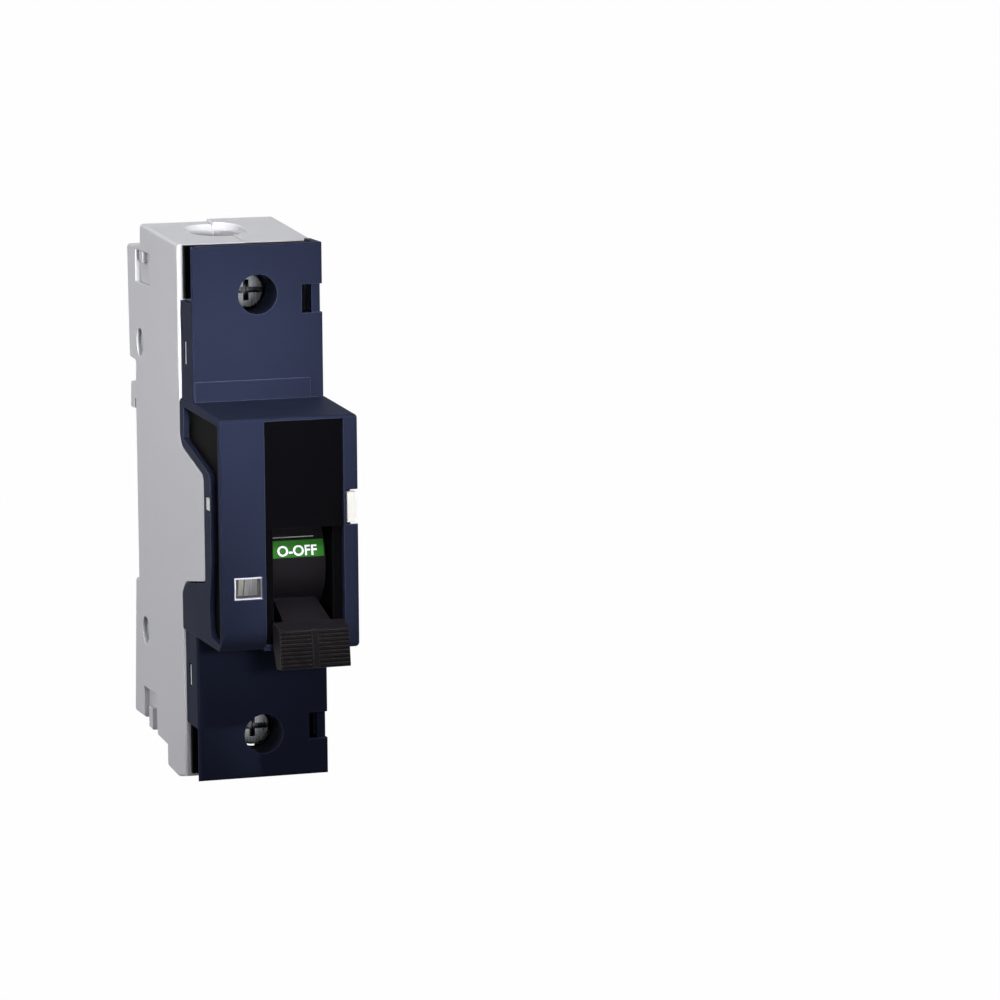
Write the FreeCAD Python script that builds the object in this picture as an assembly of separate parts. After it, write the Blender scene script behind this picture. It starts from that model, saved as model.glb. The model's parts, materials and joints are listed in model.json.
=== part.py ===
import FreeCAD, Part
import os
from math import cos, hypot, pi, radians, sin, sqrt, tan
from FreeCAD import Vector as V

# A one pole circuit breaker for a 35 mm rail, in millimetres
# The front faces -Y, the rail lies along X and +Z is up
# The origin is the middle of the seat where the front of the rail rests

# Outside of the case
pole_width = 27.0
case_depth = 34.2
case_top = 51.7
case_top_slope = 1.5
case_right_rise = 0.5
case_foot = 52.1
case_sill = 47.7
case_rear_foot = 45.7
sill_front = 20.2
sill_back = 5.0
shoulder_back = 4.7
shoulder_top = 48.8
rear_plane = 5.7
case_wall = 2.0
floor_wall = 1.6
edge_round = 0.6
pocket_depth = 1.2
pocket_front = 12.8
pocket_height = 6.4
seam_width = 0.24
seam_depth = 0.35

# Ears that reach forward from the side walls of the case
ear_depth = 51.3
ear_top = 17.9
ear_shoulder = 13.0
ear_nose_top = 9.4
ear_nose_bottom = 10.6
ear_bottom = 17.0
ear_gap = 0.3

# Rail and the hook that hangs on it
rail_height = 35.0
rail_lip = 1.0
rail_gap = 0.3
hook_tip = 4.3
hook_grip = 1.7
hook_height = 3.6
notch_height = 4.2

# Cover
panel_depth = 42.7
panel_top = 52.0
panel_bottom = 51.0
panel_inset = 0.5
panel_wall = 1.6
cover_wall = 1.2
nose_depth = 63.1
nose_top = 21.5
nose_crease = 22.4
nose_bottom = 22.8
nose_side_wall = 1.1
nose_round = 0.8
nose_chin_round = 4.0
seat_gap = 0.15
ledge_height = 3.8
ledge_step = 0.3
notch_depth = 1.0
notch_rim = 0.5
left_notch_up = 41.1
left_notch_low = 40.7
frame_front = 37.7
frame_thick = 1.0
frame_height = 36.0
snap_thick = 0.7

# Front opening of the nose, with the label and the toggle
mouth_left = 4.75
mouth_right = 10.6
mouth_top = 20.9
label_bottom = 0.5
label_set_back = 0.5
liner_wall = 1.0
liner_gap = 0.1
liner_back = 38.0
flange_front = 36.3
shield_inset = 0.4
cheek_wall = 1.7

# Terminals
terminal_height = 42.5
access_radius = 3.83
sleeve_wall = 1.2
screw_head_radius = 3.6
screw_head_height = 3.0
screw_head_front = 34.2
head_gap = 1.0
screw_radius = 3.0
screw_slot = 1.0
thread_gap = 0.05
tongue_width = 10.0
tongue_thick = 1.5
tongue_gap = 0.1
cage_half_width = 7.0
cage_side = 1.6
cage_front_wall = 2.0
cage_back_wall = 2.0
cage_height = 6.2
wire_room = 9.5
entry_width = 9.0
entry_depth = 14.0
entry_offset = -1.4
entry_shift = -0.6
entry_flare = 1.0

# Toggle
toggle_x = 2.9
toggle_depth = 48.5
toggle_height = -7.3
drum_radius = 9.5
drum_width = 10.8
axle_radius = 1.5
run_gap = 0.05
toggle_swing = 52.0
crank_radius = 4.0
link_pin_radius = 0.8
link_thick = 1.5
link_half_height = 1.3
link_side_gap = 0.2
link_slack = 0.4
grip_width = 13.5
grip_ridges = 9
ridge_height = 0.4
rib_width = 1.2
arm_root_width = 8.1
arm_tip_width = 9.3
arm_thick = 3.8
grip_top_y = -68.7
grip_top_z = -17.7
grip_low_y = -69.8
grip_low_z = -25.1

# Contact carrier
carrier_depth = 22.5
carrier_height = -10.5
carrier_swing = 25.0
carrier_axle_radius = 1.25
carrier_hub_radius = 2.8
lever_radius = 8.0
lever_eye_radius = 1.7
carrier_cheek = 1.3
arm_width = 3.4
arm_plate = 1.5
arm_offset = 2.9
arm_reach = 19.1
arm_tail = 5.7
tip_reach = 16.9
tip_radius = 2.0
tip_base = 0.5
tip_sphere = 4.0
touch_gap = 0.1

# Fixed contact, coil and trip lever
bar_thick = 1.5
bar_back = 8.1
bar_shelf = 12.5
coil_depth = 14.2
coil_bottom = 16.0
coil_height = 15.7
yoke_thick = 1.5
yoke_half_width = 6.0
yoke_back = 6.9
yoke_front = 19.5
bobbin_bore = 2.55
bobbin_wall = 0.75
bobbin_flange_radius = 5.3
bobbin_flange = 0.8
coil_wire_radius = 0.85
coil_turns = 6
plunger_gap = 0.05
plunger_height = 6.8
plunger_travel = 3.2
striker_radius = 0.8
striker_end = 10.2
plunger_stop_gap = 0.7
spring_pocket_radius = 2.1
lever_depth = 27.5
lever_height = 9.0
lever_hub_radius = 2.2
lever_axle_radius = 1.0
lever_arm = 1.6
bimetal_width = 5.6
bimetal_thick = 1.2
bimetal_front = 27.0
bimetal_x = -7.0
bimetal_top = -7.5
calibration_radius = 1.5
calibration_height = -28.0
braid_radius = 0.9

# Arc chute
plate_count = 7
plate_pitch = 1.6
plate_thick = 0.9
plate_back = 8.0
plate_half_width = 9.8
plate_top = -8.0
plate_bottom = -30.6
plate_notch = 9.0
cheek_thick = 1.5
runner_thick = 0.8

# Rail latch
latch_half_width = 6.0
latch_web = 4.5
latch_flange = 1.5
latch_gap = 0.15
latch_tab = 50.5
latch_window_low = -40.0
latch_window_high = -24.0
latch_window_half = 2.2
latch_stud = 1.5
latch_spring_radius = 1.4
latch_wire_radius = 0.25

# Rivets
rivet_radius = 1.5
rivet_head_radius = 2.2
rivet_head = 0.6
rivet_hole_radius = 2.75
rivet_sink = 1.2
rivet_boss_radius = 2.6
rivet_places = [(-4.0, 29.7), (-4.7, -27.7)]

# Indicator
window_left = -10.95
window_right = -5.45
window_low = -12.65
window_high = -8.3
window_gap = 0.1
flag_radius = 11.3
flag_wall = 1.0

# Places worked out from the sizes
half = pole_width / 2
inner_half = half - case_wall
front_y = -case_depth
panel_y = -panel_depth
nose_y = -nose_depth
inner_front = front_y + case_wall
inner_back = -case_wall
lip_z = rail_height / 2
slot_top = lip_z + rail_gap + 0.2
slot_bottom = -slot_top
partition_high = 35.2
partition_low = 33.6
tongue_front = -23.2
tongue_back = tongue_front + tongue_thick
nose_inner_x = half - nose_side_wall
liner_x = nose_inner_x - liner_gap
liner_front = nose_y + panel_wall + liner_gap
toggle_y = -toggle_depth
carrier_y = -carrier_depth
coil_y = -coil_depth
coil_top = coil_bottom + coil_height
core_height = coil_height - plunger_height - plunger_travel - plunger_stop_gap
mount_gap = 0.1
panel_left = -half + panel_inset
panel_right = half - panel_inset - seat_gap
stud_top = latch_window_low + latch_stud + 2 * latch_gap


# Helpers for solids
def box(x, y, z):
    return Part.makeBox(x[1] - x[0], y[1] - y[0], z[1] - z[0], V(x[0], y[0], z[0]))


def centred(half_x, y, z, x=0.0):
    return box((x - half_x, x + half_x), y, z)


def rod_x(y, z, radius, x0, x1):
    return Part.makeCylinder(radius, x1 - x0, V(x0, y, z), V(1, 0, 0))


def rod_y(x, z, radius, y0, y1):
    return Part.makeCylinder(radius, y1 - y0, V(x, y0, z), V(0, 1, 0))


def rod_z(x, y, radius, z0, z1):
    return Part.makeCylinder(radius, z1 - z0, V(x, y, z0), V(0, 0, 1))


def outline(corners):
    # A closed face in the YZ plane; each corner is (y, z, radius of its round)
    edges = []
    count = len(corners)
    starts = []
    for i in range(count):
        before = V(0, *corners[i - 1][:2])
        here = V(0, *corners[i][:2])
        after = V(0, *corners[(i + 1) % count][:2])
        radius = corners[i][2]
        if radius == 0:
            starts.append((here, here, here))
            continue
        back = (before - here).normalize()
        ahead = (after - here).normalize()
        half_angle = back.getAngle(ahead) / 2
        reach = radius / tan(half_angle)
        middle = (back + ahead).normalize()
        centre = here + middle * (radius / sin(half_angle))
        starts.append((here + back * reach, centre - middle * radius, here + ahead * reach))
    for i in range(count):
        first, top, last = starts[i]
        if first != last:
            edges.append(Part.Arc(first, top, last).toShape())
        following = starts[(i + 1) % count][0]
        edges.append(Part.makeLine(last, following))
    return Part.Face(Part.Wire(edges))


def slab(corners, x0, x1):
    face = outline(corners)
    face.translate(V(x0, 0, 0))
    return face.extrude(V(x1 - x0, 0, 0))


def plain(points):
    return [(y, z, 0) for y, z in points]


def join(first, *others):
    return first.fuse(list(others)).removeSplitter()


def softened(solid, radius, wanted):
    return solid.makeFillet(radius, [edge for edge in solid.Edges if wanted(edge)])


def along(edge, axis):
    start, end = edge.Vertexes[0].Point, edge.Vertexes[-1].Point
    return abs(abs((end - start).normalize().dot(axis)) - 1) < 1e-6


def swung(y, z, angle):
    # A point turned about the X axis, counted so that the front of the toggle rises
    a = radians(angle)
    return y * cos(a) + z * sin(a), z * cos(a) - y * sin(a)


def coil(centre, axis, length, radius, wire_radius, turns, start=0.0):
    # Round wire wound about an axis, with plain ends
    helix = Part.makeHelix(length / turns, length, radius)
    tangent = V(0, 2 * pi * radius, length / turns)
    profile = Part.Wire(Part.makeCircle(wire_radius, V(radius, 0, 0), tangent))
    solid = Part.Wire(helix.Edges).makePipeShell([profile], True, True)
    turn = FreeCAD.Rotation(V(0, 0, 1), axis).multiply(FreeCAD.Rotation(V(0, 0, 1), start))
    solid.Placement = FreeCAD.Placement(centre, turn)
    return solid


def save(name, shape):
    shape.exportStep(f"parts/{name}.step")
    print(f"{name}: {len(shape.Solids)} solids, {shape.Volume:.1f} mm3, valid {shape.isValid()}")


# The case is two halves that meet on the middle plane
def case_profile(rise):
    top_back = case_top + case_top_slope + rise
    slot_hook = slot_top - hook_grip - rail_gap
    hook_root = slot_top + hook_height
    return [
        (front_y, case_top, 0), (-5.0, top_back, 0.8), (-shoulder_back, shoulder_top + 0.4, 0),
        (rear_plane, shoulder_top - 0.5, 0.8), (rear_plane - 0.5, hook_root + 9.5, 0),
        (rear_plane - 0.8, hook_root + notch_height, 0.6), (0.0, hook_root + notch_height - 0.3, 0.6),
        (0.4, hook_root, 0), (hook_tip - 0.5, hook_root - 0.5, 0.5), (hook_tip, slot_hook, 0.5),
        (rail_lip + rail_gap, slot_hook, 0.3), (rail_lip + rail_gap, slot_top, 0), (0.0, slot_top, 0),
        (0.0, slot_bottom, 0), (3.0, slot_bottom - 0.2, 0.5), (rear_plane - 0.2, -case_rear_foot, 0.8),
        (-sill_back, -case_rear_foot, 0), (-sill_back - 0.2, -case_sill + 0.6, 0),
        (-sill_front, -case_sill - 0.3, 0), (-sill_front, -case_foot, 0.8),
        (-sill_front - 8.0, -case_foot - 0.6, 6.0), (front_y, -case_foot + 0.6, 0),
    ]


def ear_outline(grow):
    return [
        (front_y + case_wall - grow, ear_top + grow, 0),
        (front_y - 1.1 - grow, ear_shoulder + grow, 3.0),
        (-ear_depth - grow, ear_nose_top + grow, 1.8),
        (-ear_depth - grow, -ear_nose_bottom - grow, 0.8),
        (front_y - 2.8 - grow, -ear_nose_bottom - 2.2 - grow, 3.0),
        (front_y + case_wall - grow, -ear_bottom - grow, 0),
    ]


def wire_entry(side):
    # An oblong hole with a flared mouth, and room for the wire behind the tongue
    middle = tongue_back + wire_room / 2 + entry_shift
    end_radius = entry_width / 2
    reach = entry_depth / 2 - end_radius
    low, high = case_rear_foot - 2.0, case_foot + 5.0
    flare_from = (case_top + 0.2) if side > 0 else (case_sill - 0.6)
    cuts = []
    for grow, start in ((0.0, low), (entry_flare, flare_from)):
        radius = end_radius + grow
        z0, z1 = sorted((side * start, side * high))
        cuts.append(centred(radius, (middle - reach, middle + reach), (z0, z1), entry_offset))
        cuts.append(rod_z(entry_offset, middle - reach, radius, z0, z1))
        cuts.append(rod_z(entry_offset, middle + reach, radius, z0, z1))
    return join(*cuts)


def latch_channel():
    floor = rail_lip
    lip = floor + latch_flange + 2 * latch_gap
    wide = centred(latch_half_width + latch_gap, (floor, lip), (-case_foot - 5, slot_bottom + 1))
    narrow = centred(latch_web + latch_gap, (lip, rear_plane + 3), (-case_foot - 5, slot_bottom + 1))
    return join(wide, narrow)


def case_ribs():
    ribs = [
        centred(inner_half, (inner_front, inner_back), (partition_low, partition_high)),
        centred(inner_half, (inner_front, inner_back), (-partition_high, -partition_low)),
        centred(inner_half, (-yoke_back + mount_gap, inner_back), (coil_bottom - yoke_thick, coil_bottom)),
        centred(inner_half, (-bar_back + mount_gap, inner_back), (-2.0, 0.0)),
        centred(inner_half, (-20.4, inner_back), (-partition_low, plate_bottom - 1.3)),
    ]
    for y, z in rivet_places:
        ribs.append(rod_x(y, z, rivet_boss_radius, -inner_half, inner_half))
    for y, z, radius, reach in axle_seats():
        ribs.append(rod_x(y, z, radius + 1.35, -inner_half, -inner_half + reach))
        ribs.append(rod_x(y, z, radius + 1.35, inner_half - reach, inner_half))
    return ribs


def axle_seats():
    return [
        (carrier_y, carrier_height, carrier_axle_radius, 3.0),
        (-lever_depth, lever_height, lever_axle_radius, 1.3),
    ]


def case_holes():
    holes = [latch_channel(), wire_entry(1), wire_entry(-1)]
    slit_half = tongue_width / 2 + seat_gap
    for side in (-1, 1):
        z = side * terminal_height
        holes.append(rod_y(0, z, screw_head_radius + head_gap, front_y - 1, inner_front + 1))
        low, high = sorted((side * (partition_low - 1), side * (partition_high + 1)))
        holes.append(centred(slit_half, (tongue_front - seat_gap, tongue_back + seat_gap), (low, high)))
    for y, z in rivet_places:
        holes.append(rod_x(y, z, rivet_radius, -half - 1, half + 1))
        holes.append(rod_x(y, z, rivet_hole_radius, -half - 1, -half + rivet_sink))
        holes.append(rod_x(y, z, rivet_hole_radius, half - rivet_sink, half + 1))
    for y, z, radius, reach in axle_seats():
        holes.append(rod_x(y, z, radius, -half + 0.6, half - 0.6))
    holes.append(rod_y(bimetal_x, calibration_height, calibration_radius + run_gap, front_y - 1, inner_front + 1))
    return holes


def side_pockets():
    # Shallow coupling pockets in both side faces, each with a small tab left standing
    pockets = []
    for side in (-1, 1):
        x0, x1 = sorted((side * (half - pocket_depth), side * (half + 1)))
        tab0, tab1 = sorted((side * (half - pocket_depth), side * (half - 0.2)))
        high, low = case_top - 3.8, -case_foot
        upper = box((x0, x1), (-pocket_front, -1.2), (high - pocket_height, high))
        upper = upper.cut(box((tab0, tab1), (-6.5, -3.8), (high - 2.2, high)))
        lower = box((x0, x1), (-pocket_front, -2.2), (low, low + 2 * pocket_height))
        lower = lower.cut(box((tab0, tab1), (-7.9, -5.3), (low, low + 9.2)))
        pockets += [upper, lower]
    return pockets


def case_body(rise):
    outside = slab(case_profile(rise), -half, half)
    outside = softened(outside, edge_round, lambda edge: side_edge(edge))
    step_top, step_front = shoulder_top - 2.5, -shoulder_back - case_wall
    cavity = [
        centred(inner_half, (inner_front, inner_back), (-case_rear_foot + case_wall, step_top)),
        centred(inner_half, (inner_front, step_front), (-case_sill + floor_wall, case_top - case_wall)),
        centred(inner_half, (inner_front, -sill_front - case_wall), (-case_foot + case_wall, 0)),
        centred(inner_half, (inner_back - 1, rear_plane - case_wall - 0.5), (slot_top + 9.8, step_top)),
        centred(inner_half, (front_y - 1, inner_front + 1), (-ear_bottom + 1.0, ear_top - 0.4)),
    ]
    body = outside.cut(cavity)
    ears = [slab(ear_outline(0), -half, -inner_half), slab(ear_outline(0), inner_half, half)]
    body = join(body, *ears)
    body = join(body, *case_ribs())
    stud = centred(latch_window_half - 2 * latch_gap, (rail_lip, rail_lip + 3.6), (stud_top - latch_stud, stud_top))
    body = body.cut(case_holes() + side_pockets())
    body = join(body, stud)
    groove = slab(case_profile(rise), -seam_width / 2, seam_width / 2)
    core = outline(case_profile(rise)).makeOffset2D(-seam_depth)
    core.translate(V(-seam_width, 0, 0))
    return body.cut(groove.cut(core.extrude(V(2 * seam_width, 0, 0))))


def side_edge(edge):
    box_of = edge.BoundBox
    flat = box_of.XLength < 1e-6 and abs(abs(box_of.Center.x) - half) < 1e-6
    outer = box_of.Center.z > 30 or box_of.Center.z < -30 or box_of.Center.y < front_y + 1
    return flat and outer and edge.Length > 4.0


def case_half(side):
    rise = case_right_rise if side > 0 else 0.0
    x = (0.0, pole_width) if side > 0 else (-pole_width, 0.0)
    return case_body(rise).common(box(x, (-100, 50), (-100, 100)))


# The cover is one moulding: a flat panel with a nose
def nose_solid():
    corners = [
        (front_y - seat_gap, nose_crease, 0), (panel_y, nose_crease, 0), (nose_y, nose_top, 0),
        (nose_y, -nose_bottom, 0), (front_y - seat_gap, -nose_bottom, 0),
    ]
    nose = slab(corners, -half, half)
    return softened(nose, nose_round, nose_edge)


def nose_edge(edge):
    middle = edge.BoundBox.Center.y
    return abs(middle - nose_y) < 1e-6 or (edge.BoundBox.XLength < 1e-6 and middle < panel_y)


def panel_solid():
    panel = box((panel_left, panel_right), (panel_y, front_y - seat_gap), (-panel_bottom, panel_top))
    return softened(panel, edge_round, lambda edge: abs(edge.BoundBox.Center.y - panel_y) < 1e-6)


def window_outline():
    # The opening in each side of the nose, which follows the ear of the case
    return [
        (front_y - 3.0, mouth_top, 0.5), (front_y - 2.7, ear_shoulder + 1.8, 0.5),
        (ear_ahead(0.4), ear_nose_top + 1.0, 2.5), (ear_ahead(0.4), -ear_nose_bottom + 4.1, 2.0),
        (ear_ahead(0.254), -ear_bottom + 1.5, 3.0), (ear_ahead(0.305), -nose_bottom + 2.1, 2.0),
        (nose_y + 1.0, -nose_bottom + 1.6, 0.5), (nose_y + 1.0, mouth_top - 0.5, 0.5),
    ]


def ear_ahead(share):
    # A place between the tip of the ear and the front of the nose
    return -ear_depth - share * (nose_depth - ear_depth)


def front_cover():
    cover = join(panel_solid(), nose_solid())
    ledge_z = (nose_crease - 0.5, nose_crease + ledge_height)
    cover = join(cover, box((panel_left + 0.3, panel_right - 2.75), (panel_y - ledge_step, panel_y + 0.5), ledge_z))
    back = front_y + 1
    cuts = [
        box((panel_left + cover_wall, panel_right - cover_wall), (panel_y + panel_wall, back),
            (-panel_bottom + cover_wall, panel_top - cover_wall)),
        centred(nose_inner_x, (nose_y + panel_wall, back), (-nose_bottom + cover_wall, nose_top - 0.9)),
        box((panel_left + cover_wall, panel_right - cover_wall), (panel_y + panel_wall, back),
            (-panel_bottom - 1, panel_top + 1)),
    ]
    cover = cover.cut(cuts)
    for side in (-1, 1):
        z = side * terminal_height
        cover = join(cover, rod_y(0, z, access_radius + sleeve_wall, panel_y + 0.5, front_y - seat_gap))
        cover = cover.cut(rod_y(0, z, access_radius, panel_y - 1, back))
    return cover.cut(cover_openings())


def cover_openings():
    openings = [
        box((-mouth_left, mouth_right), (nose_y - 1, nose_y + panel_wall + 0.1), (-nose_bottom - 1, mouth_top)),
        box((window_left, window_right), (nose_y - 1, nose_y + 3), (window_low, window_high)),
        box((half - 2.5, half + 1), (nose_y - 1, nose_y + panel_wall + 0.1), (0.6, 7.3)),
        box((-half - 1, -nose_inner_x + 0.2), (ear_ahead(0.38), ear_ahead(0.11)), (3.1, 6.0)),
        chin_cut(),
    ]
    for side in (-1, 1):
        x0, x1 = sorted((side * (nose_inner_x - 0.1), side * (half + 1)))
        openings.append(slab(window_outline(), x0, x1))
        openings.append(slab(ear_outline(ear_gap), x0, x1))
        w0, w1 = sorted((side * (half - 2.2), side * (half + 1)))
        openings.append(box((w0, w1), (-38.1, -36.4), (28.7, 33.8)))
        openings.append(box((w0, w1), (-38.1, -36.4), (-33.4, -28.7)))
    openings += corner_notches()
    return openings


def chin_cut():
    corner = box((-half - 1, -mouth_left), (nose_y - 1, nose_y + nose_chin_round),
                 (-nose_bottom - 1, -nose_bottom + nose_chin_round))
    round_bar = rod_x(nose_y + nose_chin_round, -nose_bottom + nose_chin_round, nose_chin_round,
                      -half - 2, -mouth_left + 1)
    return corner.cut(round_bar)


def corner_notches():
    upper_right = box((half - 4.8, half), (panel_y - 1, front_y - 2.2), (38.6, 44.1))
    lower_right = box((half - 4.5, half), (panel_y - 1, front_y - 2.2), (-44.1, -38.9))
    left = (panel_left - 1, panel_left + cover_wall + 0.1)
    side_y = (panel_y + notch_rim, front_y + 1)
    return [upper_right, lower_right, box(left, side_y, (left_notch_up, panel_top + 1)),
            box(left, side_y, (-panel_bottom - 1, -left_notch_low))]


def notch_floors():
    x = (half - 2.6, panel_right - 0.3)
    y = (panel_y + notch_depth, panel_y + notch_depth + cover_wall)
    return [box(x, y, (38.3, 44.4)), box(x, y, (-44.4, -38.6))]


# A white frame behind the panel snaps the cover to the case
def snap_frame():
    y = (-frame_front, -frame_front + frame_thick)
    snap_y = (y[0] + 0.15, y[0] + 0.15 + snap_thick)
    reach = half - 2.3
    frame = centred(reach, y, (-frame_height, frame_height))
    frame = frame.cut(centred(reach - 1.5, (y[0] - 1, y[1] + 1), (-frame_height + 2.0, frame_height - 2.0)))
    for side in (-1, 1):
        x = sorted((side * (reach - 0.2), side * (half - panel_inset - 0.2)))
        frame = join(frame, box(x, snap_y, (29.1, 33.4)), box(x, snap_y, (-33.0, -29.1)))
    return frame


# The black liner fills the nose, carries the label and holds the toggle axle
def nose_liner():
    top, bottom = nose_top - 1.0, -nose_bottom + cover_wall + liner_gap
    shell = centred(liner_x, (liner_front, -liner_back), (bottom, top))
    hollow = centred(liner_x - liner_wall, (liner_front + liner_wall, -liner_back + 1),
                     (bottom + liner_wall, top - liner_wall))
    shell = shell.cut(hollow)
    for side in (-1, 1):
        x0, x1 = sorted((side * (liner_x - liner_wall - 0.2), side * half))
        shell = shell.cut(slab(ear_outline(ear_gap), x0, x1))
    left, right = -mouth_left + seat_gap, mouth_right - seat_gap
    inside_left, inside_right = left + cheek_wall, right - cheek_wall
    label = box((left, right), (nose_y + label_set_back, liner_front), (label_bottom, mouth_top - seat_gap))
    lip = box((inside_left, inside_right), (liner_front, liner_front + 3.9), (label_bottom, label_bottom + 1.0))
    liner = join(shell, label, lip, liner_flange(bottom, top))
    liner = liner.cut(box((inside_left, inside_right), (liner_front - 1, liner_front + 2.0),
                          (bottom - 1, label_bottom)))
    cheek = [(liner_front + 0.5, label_bottom + 0.5, 0), (toggle_y + 4.0, label_bottom - 2.5, 2.0),
             (toggle_y + 4.0, toggle_height - 4.0, 2.0), (liner_front + 0.5, toggle_height - 9.0, 0)]
    liner = join(liner, slab(cheek, left, inside_left), slab(cheek, inside_right, right))
    liner = liner.cut(rod_x(toggle_y, toggle_height, axle_radius, left - 1, right + 1))
    pane = (window_left + 0.5, window_right - 0.5)
    return liner.cut(box(pane, (liner_front - 1, liner_front + 2), (window_low + 0.5, window_high - 0.5)))


def liner_flange(bottom, top):
    # A flat shield behind the panel, which closes the case front around the clamps
    reach = half - 2.4
    y = (-flange_front, -flange_front + liner_wall)
    z = (-panel_bottom + shield_inset, panel_top - shield_inset)
    shield = centred(reach, y, z)
    shield = shield.cut(centred(reach + 1, (y[0] - 1, y[1] + 1), (bottom + liner_wall, top - liner_wall)))
    for side in (-1, 1):
        shield = shield.cut(rod_y(0, side * terminal_height, access_radius + sleeve_wall + 0.3, y[0] - 1, y[1] + 1))
    ends = (panel_left + shield_inset, -reach + 0.5)
    shield = join(shield, box(ends, y, (left_notch_up + shield_inset, z[1])),
                  box(ends, y, (z[0], -left_notch_low - shield_inset)))
    neck = half - 4.2
    necks = [centred(neck, (-liner_back - 0.5, y[1]), (top - liner_wall, top)),
             centred(neck, (-liner_back - 0.5, y[1]), (bottom, bottom + liner_wall))]
    return join(shield, *necks)


# Toggle
def crank_point(angle=0.0):
    rest = radians(90 + toggle_swing / 2)
    y, z = swung(crank_radius * cos(rest), crank_radius * sin(rest), angle)
    return toggle_y + y, toggle_height + z


def lever_point(angle=0.0):
    rest = radians(90 + carrier_swing / 2)
    y, z = swung(lever_radius * cos(rest), lever_radius * sin(rest), angle)
    return carrier_y + y, carrier_height + z


def toggle_arm():
    # The arm slopes down from the drum to the back of the grip
    sections = []
    for y, z, width in ((-54.0, -13.5, arm_root_width), (-65.0, -17.6, arm_tip_width)):
        x0, x1 = toggle_x - width / 2, toggle_x + width / 2
        points = [V(x0, y, z), V(x1, y, z), V(x1, y + 1.2, z - arm_thick), V(x0, y + 1.2, z - arm_thick)]
        sections.append(Part.makePolygon(points + points[:1]))
    return Part.makeLoft(sections, True)


def toggle_grip():
    x0, x1 = toggle_x - grip_width / 2, toggle_x + grip_width / 2
    top_y, top_z, low_y, low_z = grip_top_y, grip_top_z, grip_low_y, grip_low_z
    body = slab([(-64.0, -16.9, 0.4), (top_y, top_z, 0.4), (low_y, low_z, 0.4), (-66.4, -25.5, 0.8),
                 (-64.2, -21.6, 0.8)], x0, x1)
    height = top_z - low_z - 0.5
    pitch = height / grip_ridges
    ridges = []
    for i in range(grip_ridges):
        z = top_z - 0.3 - i * pitch
        y = top_y + (low_y - top_y) * (top_z - z) / (top_z - low_z)
        ridge = plain([(y + 0.3, z), (y - ridge_height, z - 0.12), (y - ridge_height, z - pitch / 2),
                       (y + 0.3, z - pitch / 2 - 0.12)])
        ridges.append(slab(ridge, x0 + 0.2, x1 - 0.2))
    rib = slab(plain([(top_y + 0.3, top_z - 0.2), (top_y - 0.5, top_z - 0.3), (low_y - 0.5, low_z + 0.3),
                      (low_y + 0.3, low_z + 0.2)]), toggle_x - rib_width / 2, toggle_x + rib_width / 2)
    return join(body, rib, *ridges)


def link_slot():
    # Room in the drum for the link to turn about the crank pin
    y, z = crank_point()
    tall = link_half_height + 0.25
    a = radians(toggle_swing)
    edge_y, edge_z = y - tall * sin(a), z + tall * cos(a)
    far = 15.0
    points = [(y - tall, z - tall), (y + far, z - tall), (y + far, edge_z + far * sin(a)),
              (edge_y + far * cos(a), edge_z + far * sin(a)), (edge_y, edge_z), (y - tall, z)]
    side = link_thick / 2 + link_side_gap
    return slab(plain(points), toggle_x - side, toggle_x + side)


def toggle():
    x0, x1 = toggle_x - drum_width / 2, toggle_x + drum_width / 2
    drum = rod_x(toggle_y, toggle_height, drum_radius, x0, x1)
    body = join(drum, toggle_arm(), toggle_grip())
    y, z = crank_point()
    pocket = rod_x(toggle_y, toggle_height, 4.3, x1 - 3.3, x1 + 1)
    pocket = pocket.cut(rod_x(toggle_y, toggle_height, 2.6, x1 - 4, x1 + 2))
    cuts = [
        link_slot(), pocket,
        rod_x(y, z, link_pin_radius, toggle_x - 1.7, toggle_x + 1.5),
        rod_x(toggle_y, toggle_height, axle_radius + run_gap, x0 - 1, x1 + 1),
    ]
    return body.cut(cuts)


def toggle_axle():
    return rod_x(toggle_y, toggle_height, axle_radius, -9.9, mouth_right - seat_gap)


def toggle_spring():
    x1 = toggle_x + drum_width / 2
    return coil(V(x1 - 2.8, toggle_y, toggle_height), V(1, 0, 0), 2.2, 3.45, 0.4, 2.5)


def crank_pin():
    y, z = crank_point()
    return rod_x(y, z, link_pin_radius, toggle_x - 1.7, toggle_x + 1.5)


def toggle_link():
    y0, z0 = crank_point()
    y1, z1 = lever_point()
    dy, dz = y1 - y0, z1 - z0
    length = hypot(dy, dz)
    ny, nz = -dz / length * link_half_height, dy / length * link_half_height
    x0, x1 = toggle_x - link_thick / 2, toggle_x + link_thick / 2
    strip = slab(plain([(y0 + ny, z0 + nz), (y1 + ny, z1 + nz), (y1 - ny, z1 - nz), (y0 - ny, z0 - nz)]), x0, x1)
    link = join(strip, rod_x(y0, z0, link_half_height, x0, x1), rod_x(y1, z1, lever_eye_radius + 0.3, x0, x1))
    near = rod_x(y0, z0, link_pin_radius + run_gap, x0 - 1, x1 + 1)
    far = rod_x(y1, z1, link_pin_radius + link_slack, x0 - 1, x1 + 1)
    return link.cut([near, far])


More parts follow.
